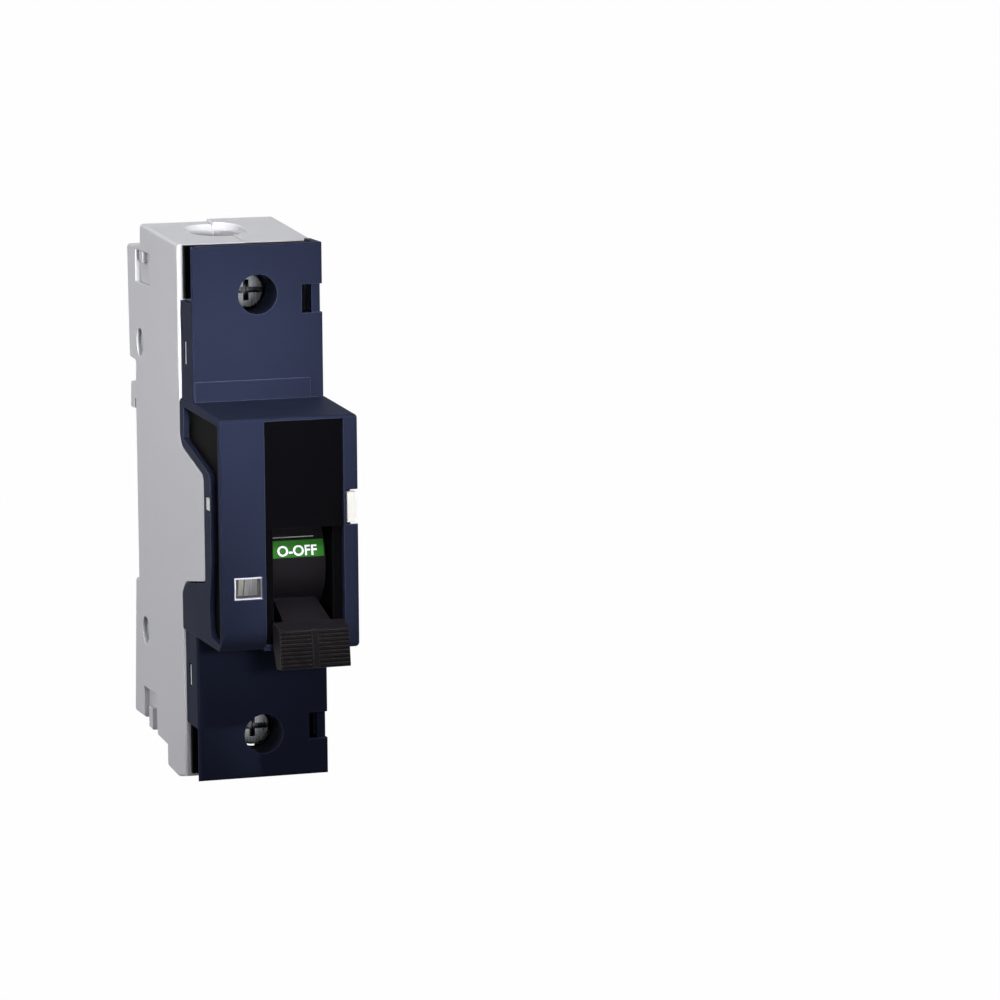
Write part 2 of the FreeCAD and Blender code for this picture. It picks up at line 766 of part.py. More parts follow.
# Contact carrier, with the moving contact
def contact_carrier():
    y, z = lever_point()
    inner = link_thick / 2 + link_side_gap
    hub = rod_x(carrier_y, carrier_height, carrier_hub_radius, toggle_x - 4.4, toggle_x + 4.4)
    pieces = []
    for side in (-1, 1):
        x0, x1 = sorted((toggle_x + side * inner, toggle_x + side * (inner + carrier_cheek)))
        dy, dz = y - carrier_y, z - carrier_height
        ny, nz = -dz / lever_radius * lever_eye_radius, dy / lever_radius * lever_eye_radius
        cheek = slab(plain([(carrier_y + ny, carrier_height + nz), (y + ny, z + nz), (y - ny, z - nz),
                            (carrier_y - ny, carrier_height - nz)]), x0, x1)
        pieces += [cheek, rod_x(y, z, lever_eye_radius, x0, x1)]
    face = carrier_y + arm_offset - arm_plate / 2
    pieces.append(centred(arm_width / 2, (carrier_y, face), (carrier_height - 2.6, carrier_height + 2.8), toggle_x))
    carrier = join(hub, *pieces)
    reach = lever_radius + lever_eye_radius + 1
    side = inner
    relief = rod_x(y, z, lever_eye_radius + 0.8, toggle_x - side, toggle_x + side)
    cuts = [
        relief,
        centred(arm_width / 2 + 0.05, (face, face + 3), (carrier_height - 5, carrier_height + 5), toggle_x),
        rod_x(carrier_y, carrier_height, carrier_axle_radius + run_gap, -reach * 2, reach * 2),
        rod_x(y, z, link_pin_radius, toggle_x - 4, toggle_x + 4),
    ]
    return carrier.cut(cuts)


def lever_pin():
    y, z = lever_point()
    reach = link_thick / 2 + link_side_gap + carrier_cheek
    return rod_x(y, z, link_pin_radius, toggle_x - reach, toggle_x + reach)


def carrier_axle():
    return rod_x(carrier_y, carrier_height, carrier_axle_radius, -half + 0.8, half - 0.8)


def contact_spring():
    return coil(V(toggle_x - 7.2, carrier_y, carrier_height), V(1, 0, 0), 2.4, 1.75, 0.3, 3.25)


def arm_face():
    return carrier_y + arm_offset + arm_plate / 2


def moving_contact_arm():
    return centred(arm_width / 2, (arm_face() - arm_plate, arm_face()),
                   (carrier_height - arm_tail, carrier_height + arm_reach), toggle_x)


def dome_height():
    return tip_sphere - sqrt(tip_sphere ** 2 - tip_radius ** 2)


def moving_contact_tip():
    z = carrier_height + tip_reach
    apex = arm_face() + tip_base + dome_height()
    blank = rod_y(toggle_x, z, tip_radius, arm_face(), apex)
    return blank.common(Part.makeSphere(tip_sphere, V(toggle_x, apex - tip_sphere, z)))


def closed_touch():
    # Where the dome of the moving contact meets the fixed contact when the breaker is on
    centre = arm_face() + tip_base + dome_height() - tip_sphere - carrier_y
    y, z = swung(centre, tip_reach, carrier_swing)
    return carrier_y + y + tip_sphere, carrier_height + z


# Fixed contact
def fixed_contact_bar():
    y0 = -bar_back - bar_thick
    front = lead_place() - coil_wire_radius
    shelf = box((-3.0, toggle_x + 4.0), (front, -bar_back), (bar_shelf - bar_thick, bar_shelf))
    drop = box((toggle_x - 3.9, toggle_x + 4.0), (y0, -bar_back), (plate_top + 2.0, bar_shelf))
    return join(shelf, drop).cut(rod_z(0, coil_y, striker_radius + 0.8, bar_shelf - 3, bar_shelf + 1))


def fixed_contact_tip():
    y, z = closed_touch()
    return rod_y(toggle_x, z, tip_radius, y + touch_gap, -bar_back - bar_thick)


# Magnetic release
def coil_yoke():
    low = (coil_bottom - yoke_thick, coil_bottom)
    high = (coil_top, coil_top + yoke_thick)
    y = (-yoke_front, -yoke_back)
    back = centred(yoke_half_width, (-yoke_back - yoke_thick, -yoke_back), (low[0], high[1]))
    yoke = join(back, centred(yoke_half_width, y, low), centred(yoke_half_width, y, high))
    holes = [rod_z(0, coil_y, 2.0, low[0] - 1, low[1] + 1),
             rod_z(0, coil_y, bobbin_bore - plunger_gap + 0.1, high[0] - 1, high[1] + 1)]
    return yoke.cut(holes)


def coil_bobbin():
    z0, z1 = coil_bottom + 0.05, coil_top - 0.05
    tube = rod_z(0, coil_y, bobbin_bore + bobbin_wall, z0, z1)
    flanges = [rod_z(0, coil_y, bobbin_flange_radius, z0, z0 + bobbin_flange),
               rod_z(0, coil_y, bobbin_flange_radius, z1 - bobbin_flange, z1)]
    return join(tube, *flanges).cut(rod_z(0, coil_y, bobbin_bore, z0 - 1, z1 + 1))


def lead_place():
    return -yoke_front - 0.25 - coil_wire_radius


def winding_ends():
    gap = bobbin_flange + coil_wire_radius + 0.15
    return coil_bottom + gap, coil_top - gap


def coil_winding():
    radius = bobbin_bore + bobbin_wall + coil_wire_radius + 0.1
    low, high = winding_ends()
    winding = coil(V(0, coil_y, low), V(0, 0, 1), high - low, radius, coil_wire_radius, coil_turns, -90)
    near = coil_y - radius
    lead_radius = coil_wire_radius - 0.05
    upper = rod_y(0, high, lead_radius, tongue_back, near + 0.4)
    lower = rod_y(0, low, lead_radius, lead_place(), near + 0.4)
    elbow = Part.makeSphere(lead_radius, V(0, lead_place(), low))
    drop = rod_z(0, lead_place(), lead_radius, bar_shelf, low)
    return join(winding, join(lower, elbow, drop), upper)


def coil_core():
    z0 = coil_bottom + 0.1
    body = rod_z(0, coil_y, bobbin_bore - plunger_gap, z0, z0 + core_height)
    stub = rod_z(0, coil_y, 2.0, coil_bottom - yoke_thick, z0)
    core = join(body, stub)
    bore = rod_z(0, coil_y, striker_radius + run_gap, z0 - 4, z0 + core_height + 1)
    pocket = rod_z(0, coil_y, spring_pocket_radius, z0 + core_height - 2.5, z0 + core_height + 1)
    return core.cut([bore, pocket])


def plunger_bottom():
    return coil_top - plunger_height - 0.1


def coil_plunger():
    z = plunger_bottom()
    head = rod_z(0, coil_y, bobbin_bore - plunger_gap, z, z + plunger_height)
    return join(head, rod_z(0, coil_y, striker_radius, striker_end, z + 0.5))


def plunger_spring():
    wire = 0.25
    low = coil_bottom + 0.1 + core_height - 2.5 + wire + 0.02
    high = plunger_bottom() - wire - 0.02
    return coil(V(0, coil_y, low), V(0, 0, 1), high - low, 1.5, wire, 3.3)


# Trip lever, worked by the striker and by the bimetal
def trip_lever():
    x0, x1 = bimetal_x - 3.0, 0.4
    y, z = -lever_depth, lever_height
    hub = rod_x(y, z, lever_hub_radius, x0, x1)
    rear = box((x1 - 2.6, x1), (y, -12.5), (z - lever_arm / 2, z + lever_arm / 2))
    front = box((x0, x0 + 5.8), (y - 1.8, y - 0.2), (bimetal_top - 1.5, z))
    return join(hub, rear, front).cut(rod_x(y, z, lever_axle_radius + run_gap, x0 - 1, x1 + 1))


def trip_axle():
    return rod_x(-lever_depth, lever_height, lever_axle_radius, -half + 0.8, half - 0.8)


def trip_spring():
    return coil(V(1.2, -lever_depth, lever_height), V(1, 0, 0), 3.6, 1.6, 0.25, 4.25)


# Bottom terminal path with the thermal release
def lower_busbar():
    tongue = centred(tongue_width / 2, (tongue_front, tongue_back), (-terminal_height - 3.0, -partition_low + 0.5))
    flange = box((bimetal_x - bimetal_width / 2, tongue_width / 2), (-bimetal_front - 3.0, tongue_back),
                 (-partition_low + 0.3, -partition_low + 0.3 + tongue_thick))
    return join(tongue, flange)


def upper_busbar():
    low = winding_ends()[1] - coil_wire_radius - 0.6
    return centred(tongue_width / 2, (tongue_front, tongue_back), (low, terminal_height + 3.0))


def bimetal_strip():
    y = (-bimetal_front, -bimetal_front + bimetal_thick)
    return centred(bimetal_width / 2, y, (-partition_low + 0.3 + tongue_thick, bimetal_top), bimetal_x)


def calibration_screw():
    shank = rod_y(bimetal_x, calibration_height, calibration_radius, front_y + 0.1, -bimetal_front - 0.1)
    slot = centred(calibration_radius + 1, (front_y - 1, front_y + 0.9),
                   (calibration_height - 0.25, calibration_height + 0.25), bimetal_x)
    return shank.cut(slot)


def flexible_braid():
    # Copper braid from the tail of the moving contact to the back of the bimetal strip
    z = carrier_height - arm_tail + 1.4
    start_y = arm_face() - arm_plate
    end_y = -bimetal_front + bimetal_thick
    middle_y = -23.3
    bend = 1.2
    x0, x1 = toggle_x, bimetal_x
    points = [V(x0, start_y, z), V(x0, middle_y + bend, z), V(x0 - bend, middle_y, z),
              V(x1 + bend, middle_y, z), V(x1, middle_y - bend, z), V(x1, end_y, z)]
    k = bend * (1 - sqrt(0.5))
    first = Part.Arc(points[1], V(x0 - k, middle_y + k, z), points[2]).toShape()
    second = Part.Arc(points[3], V(x1 + k, middle_y - k, z), points[4]).toShape()
    path = Part.Wire([Part.makeLine(points[0], points[1]), first, Part.makeLine(points[2], points[3]),
                      second, Part.makeLine(points[4], points[5])])
    ring = Part.Wire(Part.makeCircle(braid_radius, points[0], V(0, 1, 0)))
    return path.makePipeShell([ring], True, True)


# Arc chute
def plate_place(i):
    back = -plate_back - i * plate_pitch
    return back - plate_thick, back


def arc_plates():
    plates = []
    for i in range(plate_count):
        y = plate_place(i)
        plate = centred(plate_half_width, y, (plate_bottom, plate_top))
        notch = Part.makePolygon([V(toggle_x - 4, y[0] - 1, plate_top + 1), V(toggle_x + 4, y[0] - 1, plate_top + 1),
                                  V(toggle_x, y[0] - 1, plate_top - plate_notch),
                                  V(toggle_x - 4, y[0] - 1, plate_top + 1)])
        plates.append(plate.cut(Part.Face(notch).extrude(V(0, plate_thick + 2, 0))))
    return Part.makeCompound(plates)


def arc_cheek(side):
    x0, x1 = sorted((side * plate_half_width, side * (plate_half_width + cheek_thick)))
    y0 = plate_place(plate_count - 1)[0] - 0.4
    return box((x0, x1), (y0, -plate_back + 0.4), (plate_bottom - 0.2, plate_top + 0.5))


def arc_runner():
    y0 = plate_place(plate_count - 1)[0] - 1.0
    z0 = plate_bottom - 1.2
    upright = centred(2.0, (y0 - runner_thick, y0), (z0, -18.0), toggle_x)
    return join(upright, centred(2.0, (y0 - runner_thick, -plate_back + 0.2), (z0, z0 + runner_thick), toggle_x))


# Terminal clamps
def terminal_screw(side):
    z = side * terminal_height
    y0 = -screw_head_front
    head = rod_y(0, z, screw_head_radius, y0, y0 + screw_head_height)
    head = softened(head, 0.4, lambda edge: abs(edge.BoundBox.Center.y - y0) < 1e-6)
    shank = rod_y(0, z, screw_radius, y0 + screw_head_height - 0.1, tongue_front - tongue_gap)
    slot = centred(screw_head_radius + 1, (y0 - 1, y0 + 1.4), (z - screw_slot / 2, z + screw_slot / 2))
    cross = centred(screw_slot / 2, (y0 - 1, y0 + 1.8), (z - 2.0, z + 2.0))
    return join(head, shank).cut([slot, cross])


def terminal_cage(side):
    z0, z1 = side * terminal_height - cage_height / 2, side * terminal_height + cage_height / 2
    front = tongue_front - tongue_gap - 0.2 - cage_front_wall
    back = tongue_back + wire_room + cage_back_wall
    cage = centred(cage_half_width, (front, back), (z0, z1))
    inside = centred(cage_half_width - cage_side, (front + cage_front_wall, back - cage_back_wall), (z0 - 1, z1 + 1))
    cage = softened(cage, 1.2, lambda edge: along(edge, V(0, 0, 1)))
    hole = rod_y(0, side * terminal_height, screw_radius + thread_gap, front - 1, front + cage_front_wall + 1)
    return cage.cut([inside, hole])


# Rail latch
def rail_latch():
    floor = rail_lip + latch_gap
    back = rear_plane - 0.8
    flange = centred(latch_half_width, (floor, floor + latch_flange), (-case_rear_foot - 1.0, slot_bottom - 0.3))
    web = centred(latch_web, (floor, back), (-latch_tab, slot_bottom - 0.3))
    catch = rail_lip + rail_gap
    nose = slab([(catch, slot_bottom - 1.0, 0), (catch, -lip_z + hook_grip, 0.3), (catch + 1.4, -lip_z + hook_grip, 0.6),
                 (back, slot_bottom - 0.8, 0.3), (back, slot_bottom - 1.5, 0)], -latch_web, latch_web)
    latch = join(flange, web, nose)
    window = centred(latch_window_half, (0, rear_plane + 1), (latch_window_low, latch_window_high))
    grab = centred(2.5, (0, rear_plane + 1), (-latch_tab + 1.2, -latch_tab + 2.8))
    return latch.cut([window, grab])


def rail_latch_spring():
    gap = latch_wire_radius + 0.02
    low, high = stud_top + gap, latch_window_high - gap
    middle = rail_lip + latch_gap + latch_spring_radius + latch_wire_radius + 0.1
    return coil(V(0, middle, low), V(0, 0, 1), high - low, latch_spring_radius, latch_wire_radius, 8)


# Rivets through both halves of the case
def case_rivets():
    rivets = []
    for y, z in rivet_places:
        seat = half - rivet_sink
        shank = rod_x(y, z, rivet_radius, -seat - rivet_head, seat + rivet_head)
        heads = [rod_x(y, z, rivet_head_radius, -seat - rivet_head, -seat),
                 rod_x(y, z, rivet_head_radius, seat, seat + rivet_head)]
        rivets.append(join(shank, *heads))
    return Part.makeCompound(rivets)


# Indicator, behind a clear pane in the left of the nose
def indicator_pane():
    return box((window_left + window_gap, window_right - window_gap), (nose_y + 0.1, liner_front - 0.05),
               (window_low + window_gap, window_high - window_gap))


def indicator_flag():
    x0, x1 = -liner_x + liner_wall + 0.4, -mouth_left - 0.6
    hub = rod_x(toggle_y, toggle_height, 3.0, -9.5, x1)
    ring = rod_x(toggle_y, toggle_height, flag_radius, x0, x1)
    ring = ring.cut(rod_x(toggle_y, toggle_height, flag_radius - flag_wall, x0 - 1, x1 + 1))
    web = rod_x(toggle_y, toggle_height, flag_radius - 0.5, x1 - 0.8, x1)
    low, high = radians(-71), radians(-2)
    reach = 30.0
    wedge = slab(plain([(toggle_y, toggle_height), (toggle_y - reach * cos(low), toggle_height + reach * sin(low)),
                        (toggle_y - reach, toggle_height + reach * sin(low) * 0.2),
                        (toggle_y - reach * cos(high), toggle_height + reach * sin(high))]), x0 - 1, x1 + 1)
    flag = join(hub, join(ring, web).common(wedge))
    return flag.cut(rod_x(toggle_y, toggle_height, axle_radius + run_gap, x0 - 1, x1 + 1))


# White clips at the edges of the nose, for coupling a neighbour
def accessory_clip_front():
    return box((half - 2.2, half - 0.6), (nose_y + 0.1, liner_front - 0.05), (1.1, 6.8))


def accessory_clip_side():
    return box((-half + 0.1, -liner_x - 0.05), (ear_ahead(0.356), ear_ahead(0.136)), (3.4, 5.7))


def build():
    os.makedirs("parts", exist_ok=True)
    save("case_left", case_half(-1))
    save("case_right", case_half(1))
    save("front_cover", join(front_cover(), *notch_floors()))
    save("snap_frame", snap_frame())
    save("nose_liner", nose_liner())
    save("toggle", toggle())
    save("toggle_axle", toggle_axle())
    save("toggle_spring", toggle_spring())
    save("crank_pin", crank_pin())
    save("toggle_link", toggle_link())
    save("contact_carrier", contact_carrier())
    save("lever_pin", lever_pin())
    save("carrier_axle", carrier_axle())
    save("contact_spring", contact_spring())
    save("moving_contact_arm", moving_contact_arm())
    save("moving_contact_tip", moving_contact_tip())
    save("fixed_contact_bar", fixed_contact_bar())
    save("fixed_contact_tip", fixed_contact_tip())
    save("coil_yoke", coil_yoke())
    save("coil_bobbin", coil_bobbin())
    save("coil_winding", coil_winding())
    save("coil_core", coil_core())
    save("coil_plunger", coil_plunger())
    save("plunger_spring", plunger_spring())
    save("trip_lever", trip_lever())
    save("trip_axle", trip_axle())
    save("trip_spring", trip_spring())
    save("lower_busbar", lower_busbar())
    save("upper_busbar", upper_busbar())
    save("bimetal_strip", bimetal_strip())
    save("calibration_screw", calibration_screw())
    save("flexible_braid", flexible_braid())
    save("arc_plates", arc_plates())
    save("arc_cheek_left", arc_cheek(-1))
    save("arc_cheek_right", arc_cheek(1))
    save("arc_runner", arc_runner())
    save("top_screw", terminal_screw(1))
    save("bottom_screw", terminal_screw(-1))
    save("top_cage", terminal_cage(1))
    save("bottom_cage", terminal_cage(-1))
    save("rail_latch", rail_latch())
    save("rail_latch_spring", rail_latch_spring())
    save("case_rivets", case_rivets())
    save("indicator_pane", indicator_pane())
    save("indicator_flag", indicator_flag())
    save("accessory_clip_front", accessory_clip_front())
    save("accessory_clip_side", accessory_clip_side())


build()
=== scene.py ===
# %% [markdown]
# # A one pole circuit breaker in Blender
# The imported model gives every moulded and stamped part of the breaker, in metres, in one frame: the front
# faces -Y, the rail lies along X and +Z is up. This lesson adds the camera, the light, the finish of each
# part, the thin printed bands that solid modelling leaves out, and merged copies of the springs and the
# braid.

# %% Load the frame
import json
from math import cos, radians, sin

import bmesh
import bpy
from mathutils import Matrix, Vector


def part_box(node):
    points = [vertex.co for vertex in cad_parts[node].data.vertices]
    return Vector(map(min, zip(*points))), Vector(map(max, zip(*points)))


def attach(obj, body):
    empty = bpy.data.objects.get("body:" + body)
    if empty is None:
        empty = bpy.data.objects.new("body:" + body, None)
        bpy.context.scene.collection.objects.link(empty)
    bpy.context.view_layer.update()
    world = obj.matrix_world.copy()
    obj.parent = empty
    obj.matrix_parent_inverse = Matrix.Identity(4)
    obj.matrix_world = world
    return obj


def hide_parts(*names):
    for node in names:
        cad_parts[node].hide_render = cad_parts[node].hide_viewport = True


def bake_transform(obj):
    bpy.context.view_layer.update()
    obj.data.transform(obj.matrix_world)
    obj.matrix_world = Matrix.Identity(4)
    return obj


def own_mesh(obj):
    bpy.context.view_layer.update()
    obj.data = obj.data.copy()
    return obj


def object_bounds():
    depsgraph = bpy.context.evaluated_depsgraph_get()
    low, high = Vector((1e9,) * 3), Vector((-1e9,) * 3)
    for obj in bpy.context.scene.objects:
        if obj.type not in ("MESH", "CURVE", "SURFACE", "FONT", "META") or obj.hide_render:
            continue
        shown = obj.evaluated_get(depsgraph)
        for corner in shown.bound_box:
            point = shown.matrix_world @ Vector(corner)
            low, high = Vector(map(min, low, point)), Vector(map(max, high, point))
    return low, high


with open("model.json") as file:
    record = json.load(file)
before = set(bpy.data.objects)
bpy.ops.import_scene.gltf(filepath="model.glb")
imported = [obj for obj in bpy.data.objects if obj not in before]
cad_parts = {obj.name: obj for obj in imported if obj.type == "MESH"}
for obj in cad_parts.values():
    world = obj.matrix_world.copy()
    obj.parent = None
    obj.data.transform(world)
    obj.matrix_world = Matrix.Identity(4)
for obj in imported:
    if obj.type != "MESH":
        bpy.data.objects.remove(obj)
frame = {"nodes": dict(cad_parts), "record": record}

cad_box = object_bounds()
joint_of = {joint["name"]: joint for joint in frame["record"]["behaviour"]["joints"]}
toggle_axis = Vector(joint_of["toggle_turn"]["pos_m"])
print("solid model:", [round(value * 1000, 2) for corner in cad_box for value in corner])

# %% [markdown]
# ## Camera
# A product photograph of something small is taken from about a metre away with a long lens, so that the
# sides stay nearly parallel. The camera stands to the left of the breaker and a little above it. Its three
# angles make a rotation, and the lens length goes with Blender's 36 mm sensor.

# %% Camera
CAMERA_PLACE = Vector((-0.2518, -0.9612, 0.1466))
CAMERA_AZIMUTH = radians(-18.082)
CAMERA_ELEVATION = radians(8.602)
CAMERA_ROLL = radians(-0.411)
CAMERA_LENS = 181.3


def camera_turn(azimuth, elevation, roll):
    backward = Vector((sin(azimuth) * cos(elevation), -cos(azimuth) * cos(elevation), sin(elevation)))
    rightward = Vector((cos(azimuth), sin(azimuth), 0.0))
    upward = backward.cross(rightward)
    level = Matrix((rightward, upward, backward)).transposed()
    return level @ Matrix.Rotation(roll, 3, "Z")


camera_data = bpy.data.cameras.new("photo_camera")
camera_data.lens = CAMERA_LENS
camera_data.clip_start = 0.01
camera = bpy.data.objects.new("photo_camera", camera_data)
camera.matrix_world = Matrix.Translation(CAMERA_PLACE) @ camera_turn(
    CAMERA_AZIMUTH, CAMERA_ELEVATION, CAMERA_ROLL).to_4x4()
bpy.context.scene.collection.objects.link(camera)
bpy.context.scene.camera = camera
print("camera", [round(value, 3) for value in camera.location])

# %% [markdown]
# ## Colours and nodes
# Colours are written as the hex codes that a colour picker shows, which are sRGB. Blender's shaders count
# in linear light, so one function turns them. A second one adds a node to a material with its settings and
# its links, which keeps each material to a few lines.


# %% Helpers for materials
def linear(code):
    channels = [int(code[i:i + 2], 16) / 255 for i in (1, 3, 5)]
    return [c / 12.92 if c <= 0.04045 else ((c + 0.055) / 1.055) ** 2.4 for c in channels] + [1.0]


def add(tree, kind, inputs=None, **settings):
    made = tree.nodes.new(kind)
    for name, value in settings.items():
        setattr(made, name, value)
    for name, value in (inputs or {}).items():
        if isinstance(value, bpy.types.NodeSocket):
            tree.links.new(value, made.inputs[name])
        else:
            made.inputs[name].default_value = value
    return made


def new_material(name):
    material = bpy.data.materials.new(name)
    material.use_nodes = True
    material.node_tree.nodes.clear()
    return material, material.node_tree


MM = 0.001

# %% [markdown]
# ## Studio
# The light comes from the upper left and from above, through large soft boxes, with a weaker fill from the
# right. A small lamp with a grid, which narrows its beam, lifts the upper half of the front, and a still
# narrower one lifts the toggle in its recess. Neither of the two is mirrored in the screws.
# The floor and the world show white to the camera, and to the rays that leave gloss or glass, but they light
# the breaker at a plain level.


# %% Lamps
def soft_box(name, place, aim, size, power, spread=180):
    data = bpy.data.lights.new(name, "AREA")
    data.shape = "SQUARE"
    data.size = size
    data.energy = power
    data.spread = radians(spread)
    lamp = bpy.data.objects.new(name, data)
    lamp.location = place
    lamp.rotation_euler = (Vector(aim) - Vector(place)).to_track_quat("-Z", "Y").to_euler()
    lamp.visible_camera = False
    bpy.context.scene.collection.objects.link(lamp)
    return lamp


MIDDLE = (0, -0.03, 0)
soft_box("side_light", place=(-0.80, -0.22, 0.40), aim=MIDDLE, size=0.5, power=5.8)
soft_box("top_light", place=(0.0, -0.22, 0.88), aim=MIDDLE, size=0.4, power=2.4)
front_light = soft_box("front_light", place=(-0.03, -0.40, 0.06), aim=(-0.015, -0.06, 0.035),
                       size=0.05, power=0.050, spread=20)
toggle_light = soft_box("toggle_light", place=(-0.03, -0.30, 0.22), aim=(0.003, -0.063, -0.013),
                        size=0.02, power=0.0022, spread=5)
soft_box("fill_light", place=(0.8, -0.7, 0.25), aim=MIDDLE, size=0.6, power=1.3)
for lamp in (front_light, toggle_light):
    lamp.visible_glossy = False


# %% Backdrop and floor
WORLD_LEVEL = 0.33
FLOOR_GAP = 0.2 * MM
FLOOR_SIZE = 12.0
FLOOR_GLOW = 1.04
GLOW_SHARE = 0.95


def backdrop_rays(tree):
    path = add(tree, "ShaderNodeLightPath")
    first = add(tree, "ShaderNodeMath", {0: path.outputs["Is Camera Ray"], 1: path.outputs["Is Glossy Ray"]},
                operation="MAXIMUM")
    return add(tree, "ShaderNodeMath", {0: first.outputs[0], 1: path.outputs["Is Transmission Ray"]},
               operation="MAXIMUM").outputs[0]


world = bpy.data.worlds.new("studio")
world.use_nodes = True
bpy.context.scene.world = world
tree = world.node_tree
tree.nodes.clear()
seen = backdrop_rays(tree)
plain = add(tree, "ShaderNodeBackground", {"Color": linear("#F2F4F8"), "Strength": WORLD_LEVEL})
white = add(tree, "ShaderNodeBackground", {"Color": (1, 1, 1, 1), "Strength": 1.0})
both = add(tree, "ShaderNodeMixShader", {0: seen, 1: plain.outputs[0], 2: white.outputs[0]})
add(tree, "ShaderNodeOutputWorld", {"Surface": both.outputs[0]})

floor_level = cad_box[0][2] - FLOOR_GAP
bm = bmesh.new()
bmesh.ops.create_grid(bm, x_segments=1, y_segments=1, size=FLOOR_SIZE)
bmesh.ops.translate(bm, vec=(0, 0, floor_level), verts=bm.verts)
floor_mesh = bpy.data.meshes.new("studio_floor")
bm.to_mesh(floor_mesh)
bm.free()
floor = bpy.data.objects.new("studio_floor", floor_mesh)
bpy.context.scene.collection.objects.link(floor)

paper, tree = new_material("white_paper_floor")
seen = backdrop_rays(tree)
sheet = add(tree, "ShaderNodeBsdfDiffuse", {"Color": linear("#4C4C50")})
glow = add(tree, "ShaderNodeEmission", {"Color": (1, 1, 1, 1), "Strength": FLOOR_GLOW})
lit = add(tree, "ShaderNodeMath", {0: seen, 1: GLOW_SHARE}, operation="MULTIPLY")
both = add(tree, "ShaderNodeMixShader", {0: lit.outputs[0], 1: sheet.outputs[0], 2: glow.outputs[0]})
add(tree, "ShaderNodeOutputMaterial", {"Surface": both.outputs[0]})
floor.data.materials.append(paper)
print("floor at", round(floor_level * 1000, 2), "mm")


# %% [markdown]
# ## Moulded plastic
# The case, cover, liner and toggle are injection moulded, glass filled polyamide. The steel mould is spark
# eroded, which leaves a fine even grain, about a fifth of a millimetre across, that makes the gloss soft. The
# edges are a little rounded, so they catch the light. A Bevel node gives the shader the rounded normal, and
# where that normal differs from the flat one the edge is; there a lighter edge colour is mixed in, a painted
# highlight along the edge. The pigment drifts slightly over some centimetres.


# %% Moulded plastic
def moulded(name, code, edge_highlight_code, roughness, grain, edge_round, drift=0.06, grain_depth=0.012, gloss=0.5):
    material, tree = new_material(name)
    spot = add(tree, "ShaderNodeTexCoord").outputs["Object"]
    cloud = add(tree, "ShaderNodeTexNoise", {"Vector": spot, "Scale": 1 / (22 * MM), "Detail": 3.0})
    speck = add(tree, "ShaderNodeTexNoise", {"Vector": spot, "Scale": 1 / (grain * MM), "Detail": 2.0})
    rounded = add(tree, "ShaderNodeBevel", {"Radius": edge_round * MM}, samples=6)
    flat = add(tree, "ShaderNodeNewGeometry").outputs["Normal"]
    match = add(tree, "ShaderNodeVectorMath", {0: rounded.outputs[0], 1: flat}, operation="DOT_PRODUCT")
    # painted highlight: where the Bevel normal leaves the flat one, the edge takes the lighter edge colour
    painted_edge_highlight = add(tree, "ShaderNodeMapRange", {"Value": match.outputs["Value"], "From Min": 0.995,
                                            "From Max": 0.80, "To Min": 0.0, "To Max": 0.85})
    low = add(tree, "ShaderNodeMapRange", {"Value": cloud.outputs["Fac"], "From Min": 0.3, "From Max": 0.7,
                                           "To Min": 1 - drift, "To Max": 1 + drift})
    fine = add(tree, "ShaderNodeMapRange", {"Value": speck.outputs["Fac"], "From Min": 0.3, "From Max": 0.7,
                                            "To Min": 0.965, "To Max": 1.035})
    shade = add(tree, "ShaderNodeMath", {0: low.outputs[0], 1: fine.outputs[0]}, operation="MULTIPLY")
    body = add(tree, "ShaderNodeVectorMath", {0: linear(code)[:3], "Scale": shade.outputs[0]},
               operation="SCALE")
    colour = add(tree, "ShaderNodeMix", {"Factor": painted_edge_highlight.outputs[0], "A": body.outputs[0],
                                         "B": linear(edge_highlight_code)}, data_type="RGBA")
    sheen = add(tree, "ShaderNodeMapRange", {"Value": cloud.outputs["Fac"], "From Min": 0.3, "From Max": 0.7,
                                             "To Min": roughness - 0.05, "To Max": roughness + 0.05})
    bump = add(tree, "ShaderNodeBump", {"Height": speck.outputs["Fac"], "Strength": 0.5,
                                        "Distance": grain_depth * MM, "Normal": rounded.outputs[0]})
    shell = add(tree, "ShaderNodeBsdfPrincipled", {"Base Color": colour.outputs["Result"],
                                                   "Roughness": sheen.outputs[0], "IOR": 1.53,
                                                   "Specular IOR Level": gloss, "Normal": bump.outputs[0]})
    add(tree, "ShaderNodeOutputMaterial", {"Surface": shell.outputs[0]})
    return material


# The second colour of each finish is its painted edge highlight.
case_grey = moulded("grey_polyamide_moulded", "#B2B2B6", "#E4E3EE",
                    roughness=0.52, grain=0.22, edge_round=0.25, drift=0.03, gloss=0.3)
cover_blue = moulded("slate_polyamide_moulded", "#1D2131", "#50546F",
                     roughness=0.55, grain=0.20, edge_round=0.16, gloss=0.015)
liner_black = moulded("black_polyamide_moulded", "#060608", "#1C1C22",
                      roughness=0.60, grain=0.20, edge_round=0.15, gloss=0.012)
toggle_black = moulded("black_toggle_moulded", "#131114", "#5C5650",
                       roughness=0.50, grain=0.18, edge_round=0.07, gloss=0.06)
latch_black = moulded("black_acetal_latch", "#15161A", "#34353C",
                      roughness=0.45, grain=0.20, edge_round=0.25)
frame_white = moulded("white_acetal_snap", "#ECECE6", "#F6F6F2",
                      roughness=0.45, grain=0.20, edge_round=0.15, drift=0.03)
clip_white = moulded("white_acetal_clip", "#BFBEB9", "#D8D7D2",
                     roughness=0.45, grain=0.20, edge_round=0.15, drift=0.03)
natural_nylon = moulded("natural_nylon_bobbin", "#D9D2BE", "#E8E3D4",
                        roughness=0.45, grain=0.20, edge_round=0.15, drift=0.04)
thermoset_brown = moulded("brown_thermoset_carrier", "#2A2220", "#4A403C",
                          roughness=0.48, grain=0.25, edge_round=0.20)
print("moulded finishes:", len(bpy.data.materials))
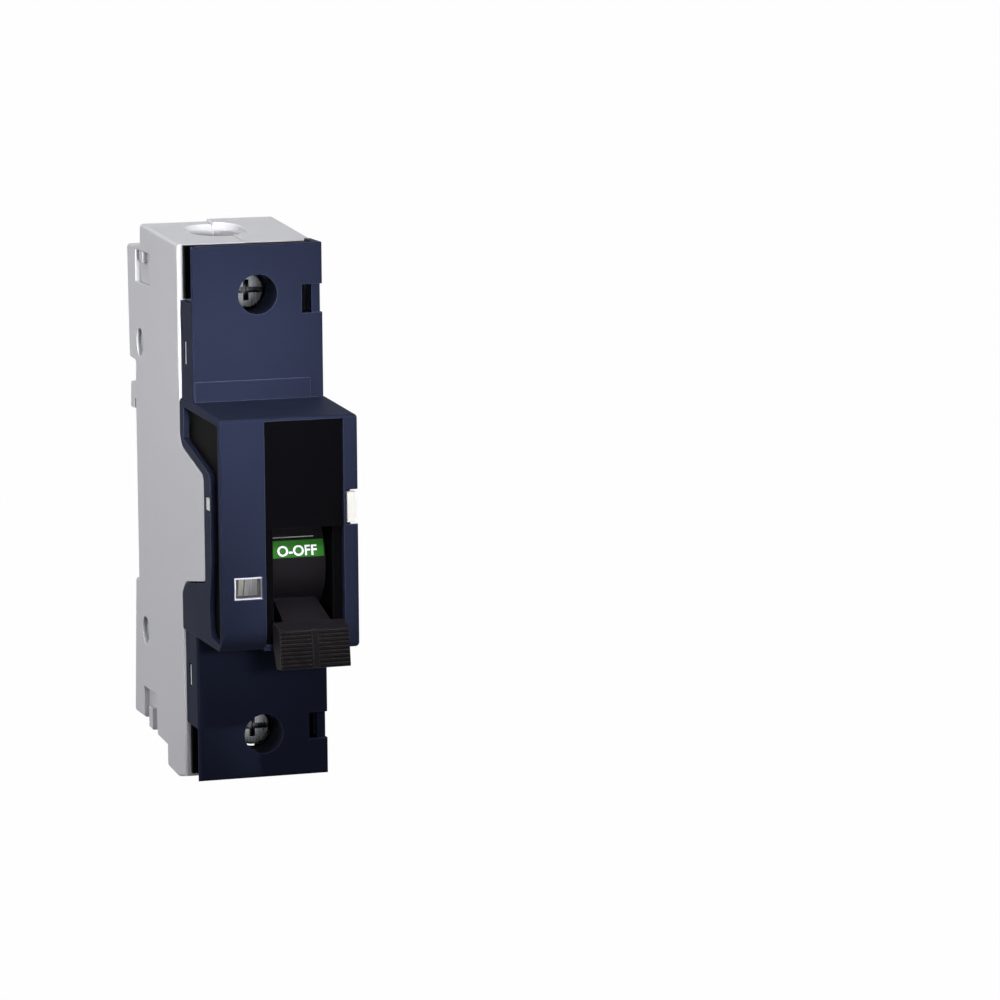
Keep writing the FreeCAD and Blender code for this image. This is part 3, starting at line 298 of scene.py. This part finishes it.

# %% [markdown]
# ## Plated and drawn metal
# Screws and clamps are steel with a bright zinc plating: a pale metal with a slightly blue tone, soft in its
# gloss, with faint cloudy spots. Pins and springs are bare drawn steel, with fine lines along the wire that
# are too thin to show, so they are noise that is stretched a little. An Ambient Occlusion node darkens what
# other faces close in towards near black: painted shade in the slots and recesses.

# %% Metals
RECESS_REACH = 1.6 * MM


def plated(name, code, spot_code, roughness, cloud_size, scratch_size):
    material, tree = new_material(name)
    spot = add(tree, "ShaderNodeTexCoord").outputs["Object"]
    cloud = add(tree, "ShaderNodeTexNoise", {"Vector": spot, "Scale": 1 / (cloud_size * MM), "Detail": 4.0})
    squeezed = add(tree, "ShaderNodeMapping", {"Vector": spot, "Scale": (1.0, 1.0, 0.08)})
    lines = add(tree, "ShaderNodeTexNoise", {"Vector": squeezed.outputs[0], "Scale": 1 / (scratch_size * MM),
                                             "Detail": 2.0})
    tone = add(tree, "ShaderNodeMix", {"Factor": cloud.outputs["Fac"], "A": linear(code),
                                       "B": linear(spot_code)}, data_type="RGBA")
    # painted shade: Ambient Occlusion darkens the recesses towards near black #0A0A0B
    hollow = add(tree, "ShaderNodeAmbientOcclusion", {"Distance": RECESS_REACH}, samples=8, only_local=True)
    painted_recess_shade = add(tree, "ShaderNodeMapRange", {"Value": hollow.outputs["AO"], "From Min": 0.36,
                                            "From Max": 0.74})
    tone_with_painted_shade = add(tree, "ShaderNodeMix", {"Factor": painted_recess_shade.outputs[0], "A": linear("#0A0A0B"),
                                      "B": tone.outputs["Result"]}, data_type="RGBA")
    gloss = add(tree, "ShaderNodeMapRange", {"Value": lines.outputs["Fac"], "From Min": 0.3, "From Max": 0.7,
                                             "To Min": roughness - 0.08, "To Max": roughness + 0.10})
    rounded = add(tree, "ShaderNodeBevel", {"Radius": 0.15 * MM}, samples=6)
    bump = add(tree, "ShaderNodeBump", {"Height": lines.outputs["Fac"], "Strength": 0.15,
                                        "Distance": 0.01 * MM, "Normal": rounded.outputs[0]})
    shell = add(tree, "ShaderNodeBsdfPrincipled", {"Base Color": tone_with_painted_shade.outputs["Result"], "Metallic": 1.0,
                                                   "Roughness": gloss.outputs[0], "Normal": bump.outputs[0]})
    add(tree, "ShaderNodeOutputMaterial", {"Surface": shell.outputs[0]})
    return material


zinc = plated("steel_zinc_plated", "#B4B7BB", "#8E9297",
              roughness=0.28, cloud_size=2.5, scratch_size=0.25)
pin_steel = plated("steel_drawn_pin", "#A9A9AA", "#8F9092",
                   roughness=0.25, cloud_size=2.0, scratch_size=0.2)
spring_steel = plated("steel_spring_wire", "#8F9092", "#77787A",
                      roughness=0.30, cloud_size=1.5, scratch_size=0.2)
link_steel = plated("steel_stamped_link", "#A39F98", "#8B8882",
                    roughness=0.35, cloud_size=3.0, scratch_size=0.2)
soft_iron = plated("iron_nickel_plated", "#9A9A98", "#7E7E7D",
                   roughness=0.38, cloud_size=3.0, scratch_size=0.25)
copper = plated("copper_rolled", "#B8734A", "#9A5A38",
                roughness=0.30, cloud_size=4.0, scratch_size=0.25)
silver = plated("silver_alloy_contact", "#D6D4CE", "#BDBBB5",
                roughness=0.25, cloud_size=1.0, scratch_size=0.2)
bimetal = plated("bimetal_rolled", "#948C7F", "#7E776C",
                 roughness=0.32, cloud_size=3.0, scratch_size=0.2)
# The second colour is the painted edge highlight.
fibre = moulded("fibre_board_pressed", "#8A5F48", "#A07860",
                roughness=0.75, grain=0.35, edge_round=0.10, drift=0.08)
print("finishes:", len(bpy.data.materials))

# %% [markdown]
# ## Clear pane and flag
# The window in the nose is a clear polycarbonate pane. Its sawn rim scatters the light and looks white.
# Behind it turns the flag: a hot stamped silver foil with fine streaks across, an ivory bar at its left, and
# red further round, which comes into the pane when the toggle goes up. Where each colour lies is worked out
# from Object coordinates, across the flag by X and round it by the angle about the toggle's axis.


# %% Pane and flag
def inside(tree, value, low, high):
    above = add(tree, "ShaderNodeMath", {0: value, 1: low}, operation="GREATER_THAN")
    below = add(tree, "ShaderNodeMath", {0: value, 1: high}, operation="LESS_THAN")
    return add(tree, "ShaderNodeMath", {0: above.outputs[0], 1: below.outputs[0]},
               operation="MULTIPLY").outputs[0]


def axes(tree):
    spot = add(tree, "ShaderNodeTexCoord").outputs["Object"]
    split = add(tree, "ShaderNodeSeparateXYZ", {"Vector": spot})
    return spot, split.outputs["X"], split.outputs["Y"], split.outputs["Z"]


PANE_RIM = 0.22 * MM
PANE_IOR = 1.58
pane_low, pane_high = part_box("indicator_pane")
pane, tree = new_material("polycarbonate_pane")
spot, x, y, z = axes(tree)
across = inside(tree, x, pane_low.x + PANE_RIM, pane_high.x)
upward = inside(tree, z, pane_low.z + PANE_RIM, pane_high.z - PANE_RIM)
open_part = add(tree, "ShaderNodeMath", {0: across, 1: upward}, operation="MULTIPLY")
clear = add(tree, "ShaderNodeBsdfPrincipled", {"Base Color": linear("#F4F5F6"), "Roughness": 0.05,
                                               "IOR": PANE_IOR, "Transmission Weight": 1.0})
rim = add(tree, "ShaderNodeBsdfPrincipled", {"Base Color": linear("#C9CAD6"), "Roughness": 0.55,
                                             "IOR": PANE_IOR})
both = add(tree, "ShaderNodeMixShader", {0: open_part.outputs[0], 1: rim.outputs[0], 2: clear.outputs[0]})
add(tree, "ShaderNodeOutputMaterial", {"Surface": both.outputs[0]})

print("pane", [round(value / MM, 2) for value in (*pane_low, *pane_high)])

# %% Flag
AXIS_Y = toggle_axis.y
AXIS_Z = toggle_axis.z
RED_BELOW = radians(-27)
DARK_EDGE = 1.55 * MM
IVORY_BAR = 2.50 * MM
BAR_LINE = 2.72 * MM
flag_face, tree = new_material("silver_foil_hot_stamped")
spot, x, y, z = axes(tree)
ahead = add(tree, "ShaderNodeMath", {0: AXIS_Y, 1: y}, operation="SUBTRACT")
over = add(tree, "ShaderNodeMath", {0: z, 1: AXIS_Z}, operation="SUBTRACT")
turned = add(tree, "ShaderNodeMath", {0: over.outputs[0], 1: ahead.outputs[0]}, operation="ARCTAN2")
red = add(tree, "ShaderNodeMath", {0: turned.outputs[0], 1: RED_BELOW}, operation="LESS_THAN")
squeezed = add(tree, "ShaderNodeMapping", {"Vector": spot, "Scale": (1.0, 0.05, 0.05)})
streak = add(tree, "ShaderNodeTexNoise", {"Vector": squeezed.outputs[0], "Scale": 1 / (0.5 * MM),
                                          "Detail": 3.0})
tone = add(tree, "ShaderNodeMapRange", {"Value": streak.outputs["Fac"], "From Min": 0.35, "From Max": 0.65})
silver_tone = add(tree, "ShaderNodeMix", {"Factor": tone.outputs[0], "A": linear("#8A8890"),
                                          "B": linear("#DEDADC")}, data_type="RGBA")
face = silver_tone.outputs["Result"]
for share, code in (
        (inside(tree, x, pane_low.x, pane_low.x + IVORY_BAR), "#D9D6C4"),
        (inside(tree, x, pane_low.x + IVORY_BAR, pane_low.x + BAR_LINE), "#4A4850"),
        (inside(tree, x, pane_low.x - MM, pane_low.x + DARK_EDGE), "#14141C"),
        (red.outputs[0], "#B01E1E")):
    face = add(tree, "ShaderNodeMix", {"Factor": share, "A": face, "B": linear(code)},
               data_type="RGBA").outputs["Result"]
foil = add(tree, "ShaderNodeBsdfPrincipled", {"Base Color": face, "Roughness": 0.45, "IOR": 1.5})
add(tree, "ShaderNodeOutputMaterial", {"Surface": foil.outputs[0]})
print("flag axis", round(AXIS_Y / MM, 2), round(AXIS_Z / MM, 2))

# %% [markdown]
# ## Giving each solid its finish
# The finish goes into the node's own material slot, and the mesh stays as it was packed.

# %% Finishes
FINISHES = {
    "case_left case_right": case_grey,
    "front_cover": cover_blue,
    "snap_frame": frame_white,
    "accessory_clip_front accessory_clip_side": clip_white,
    "indicator_flag": flag_face,
    "nose_liner": liner_black,
    "toggle": toggle_black,
    "indicator_pane": pane,
    "toggle_axle crank_pin lever_pin carrier_axle trip_axle case_rivets": pin_steel,
    "toggle_link": link_steel,
    "toggle_spring contact_spring plunger_spring trip_spring rail_latch_spring": spring_steel,
    "top_screw bottom_screw top_cage bottom_cage calibration_screw": zinc,
    "coil_yoke coil_core coil_plunger arc_plates arc_runner": soft_iron,
    "fixed_contact_bar moving_contact_arm coil_winding upper_busbar lower_busbar flexible_braid": copper,
    "fixed_contact_tip moving_contact_tip": silver,
    "bimetal_strip": bimetal,
    "coil_bobbin": natural_nylon,
    "contact_carrier trip_lever": thermoset_brown,
    "arc_cheek_left arc_cheek_right": fibre,
    "rail_latch": latch_black,
}

finished = set()
for names, material in FINISHES.items():
    for name in names.split():
        mesh = frame["nodes"][name].data
        if len(mesh.materials) == 0:
            mesh.materials.append(material)
        for i in range(len(mesh.materials)):
            mesh.materials[i] = material
        finished.add(name)
print("finished", len(finished), "of", len(frame["nodes"]), "nodes", sorted(set(frame["nodes"]) - finished))

# %% [markdown]
# ## Printing on the toggle drum
# Two bands are pad printed on the drum: a green one with O-OFF, which shows while the toggle is down, and a
# red one with I-ON, which comes up with it. Each band is a thin layer, spun round the toggle's axis from a
# flat section. Its letters are the outlines of Blender's own font, wrapped round the drum a little above it.
# They are cut across at several heights first, or a long straight stem would pass below the curved band.

# %% Printed bands
DRUM_RADIUS = 9.5 * MM
INK_LIFT = 0.03 * MM
INK_DEPTH = 0.08 * MM
LETTER_HEIGHT = 2.0 * MM
LETTER_CUTS = 7


def ink(name, code):
    material, tree = new_material(name)
    spot = add(tree, "ShaderNodeTexCoord").outputs["Object"]
    cloud = add(tree, "ShaderNodeTexNoise", {"Vector": spot, "Scale": 1 / (1.2 * MM), "Detail": 3.0})
    thin = add(tree, "ShaderNodeMapRange", {"Value": cloud.outputs["Fac"], "From Min": 0.3, "From Max": 0.7,
                                            "To Min": 0.80, "To Max": 1.12})
    tone = add(tree, "ShaderNodeVectorMath", {0: linear(code)[:3], "Scale": thin.outputs[0]},
               operation="SCALE")
    shell = add(tree, "ShaderNodeBsdfPrincipled", {"Base Color": tone.outputs[0], "Roughness": 0.42,
                                                   "IOR": 1.5, "Specular IOR Level": 0.3})
    add(tree, "ShaderNodeOutputMaterial", {"Surface": shell.outputs[0]})
    return material


def drum_point(across, around, lift):
    reach = DRUM_RADIUS + lift
    return Vector((across, AXIS_Y - reach * cos(around), AXIS_Z + reach * sin(around)))


def place(name, mesh, material, body, slot):
    piece = bpy.data.objects.new(name, mesh)
    bpy.context.scene.collection.objects.link(piece)
    mesh.materials.append(material)
    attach(piece, body)
    return piece


def drum_band(name, left, right, low, high, material):
    bm = bmesh.new()
    face = bmesh.ops.create_grid(bm, x_segments=1, y_segments=1, size=0.5)
    turn = Matrix.Rotation(-low, 4, "X")
    middle = drum_point((left + right) / 2, low, INK_LIFT - INK_DEPTH / 2)
    bmesh.ops.transform(bm, matrix=Matrix.Translation(middle) @ turn @ Matrix.Diagonal(
        (right - left, INK_DEPTH, 1.0, 1.0)), verts=face["verts"])
    bmesh.ops.spin(bm, geom=bm.faces[:] + bm.edges[:] + bm.verts[:], cent=(0, AXIS_Y, AXIS_Z), axis=(1, 0, 0),
                   angle=low - high, steps=16, use_duplicate=False)
    bmesh.ops.recalc_face_normals(bm, faces=bm.faces)
    mesh = bpy.data.meshes.new(name)
    bm.to_mesh(mesh)
    bm.free()
    return place(name, mesh, material, "toggle", "toggle_black")


def drum_words(name, words, left, right, middle, material):
    curve = bpy.data.curves.new(name, "FONT")
    curve.body = words
    curve.align_x = "CENTER"
    curve.align_y = "CENTER"
    curve.extrude = 0.004
    curve.offset = 0.02
    holder = bpy.data.objects.new(name, curve)
    bpy.context.scene.collection.objects.link(holder)
    bpy.context.view_layer.update()
    mesh = bpy.data.meshes.new_from_object(holder)
    bpy.data.objects.remove(holder)
    spans = [max(v.co[i] for v in mesh.vertices) - min(v.co[i] for v in mesh.vertices) for i in (0, 1)]
    base = min(v.co.y for v in mesh.vertices)
    bm = bmesh.new()
    bm.from_mesh(mesh)
    for step in range(1, LETTER_CUTS + 1):
        level = base + spans[1] * step / (LETTER_CUTS + 1)
        bmesh.ops.bisect_plane(bm, geom=bm.verts[:] + bm.edges[:] + bm.faces[:], plane_co=(0, level, 0),
                               plane_no=(0, 1, 0))
    bm.to_mesh(mesh)
    bm.free()
    for vertex in mesh.vertices:
        across = (left + right) / 2 + vertex.co.x * (right - left) / spans[0]
        around = middle + vertex.co.y * LETTER_HEIGHT / spans[1] / DRUM_RADIUS
        vertex.co = drum_point(across, around, 2 * INK_LIFT + vertex.co.z * MM)
    return place(name, mesh, material, "toggle", "toggle_black")


ink_green = ink("ink_green_printed", "#1F5816")
ink_red = ink("ink_red_printed", "#A81C18")
ink_white = ink("ink_white_printed", "#E6E8EC")
# painted highlight colour for a thin line on the drum
highlight_grey_paint = ink("grey_painted_highlight", "#8F8D92")

# %% Bands and words, by their ends across the drum and their angles round it
BAND_LEFT = -2.38 * MM
BAND_RIGHT = 8.12 * MM
drum_band("off_band", BAND_LEFT, BAND_RIGHT, low=radians(8.5), high=radians(28.3), material=ink_green)
# painted highlight: a thin pale grey line on the drum stands in for the light caught by the lower edge of the
# liner's lip
drum_band("painted_highlight_line", -2.1 * MM, 6.4 * MM, low=radians(31.9), high=radians(32.9), material=highlight_grey_paint)
drum_words("off_words", "O-OFF", -1.0 * MM, 6.7 * MM, middle=radians(15.5), material=ink_white)
drum_band("on_band", BAND_LEFT, BAND_RIGHT, low=radians(-86), high=radians(-66.2), material=ink_red)
drum_words("on_words", "I-ON", -0.2 * MM, 5.9 * MM, middle=radians(-77), material=ink_white)

# %% [markdown]
# ## Springs and braid as merged copies
# Two coil springs are pressed shorter by what slides on them, and the copper braid bends when the contact
# swings. A stiff one would run through the piece that moves it. Here each is a copy of its solid, with the
# doubled points merged, which takes the solid's place; the two spring copies are hung on the case.


# %% Springs and braid
def supple_copy(node):
    bm = bmesh.new()
    bm.from_mesh(frame["nodes"][node].data)
    bmesh.ops.remove_doubles(bm, verts=bm.verts, dist=0.001 * MM)
    mesh = bpy.data.meshes.new(node + "_supple")
    bm.to_mesh(mesh)
    bm.free()
    piece = bpy.data.objects.new(node + "_supple", mesh)
    bpy.context.scene.collection.objects.link(piece)
    if len(mesh.materials) == 0:
        mesh.materials.append(frame["nodes"][node].data.materials[0])
    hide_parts(node)
    return piece


def squeezed_spring(node):
    piece = supple_copy(node)
    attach(piece, "case")
    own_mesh(piece)
    return piece


squeezed_spring("rail_latch_spring")
squeezed_spring("plunger_spring")
braid = supple_copy("flexible_braid")
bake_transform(braid)

# %% [markdown]
# ## The colour of the picture
# Standard shows each colour as it is, without the softer curve that Blender starts with.

# %% View and size
bpy.context.scene.view_settings.view_transform = "Standard"
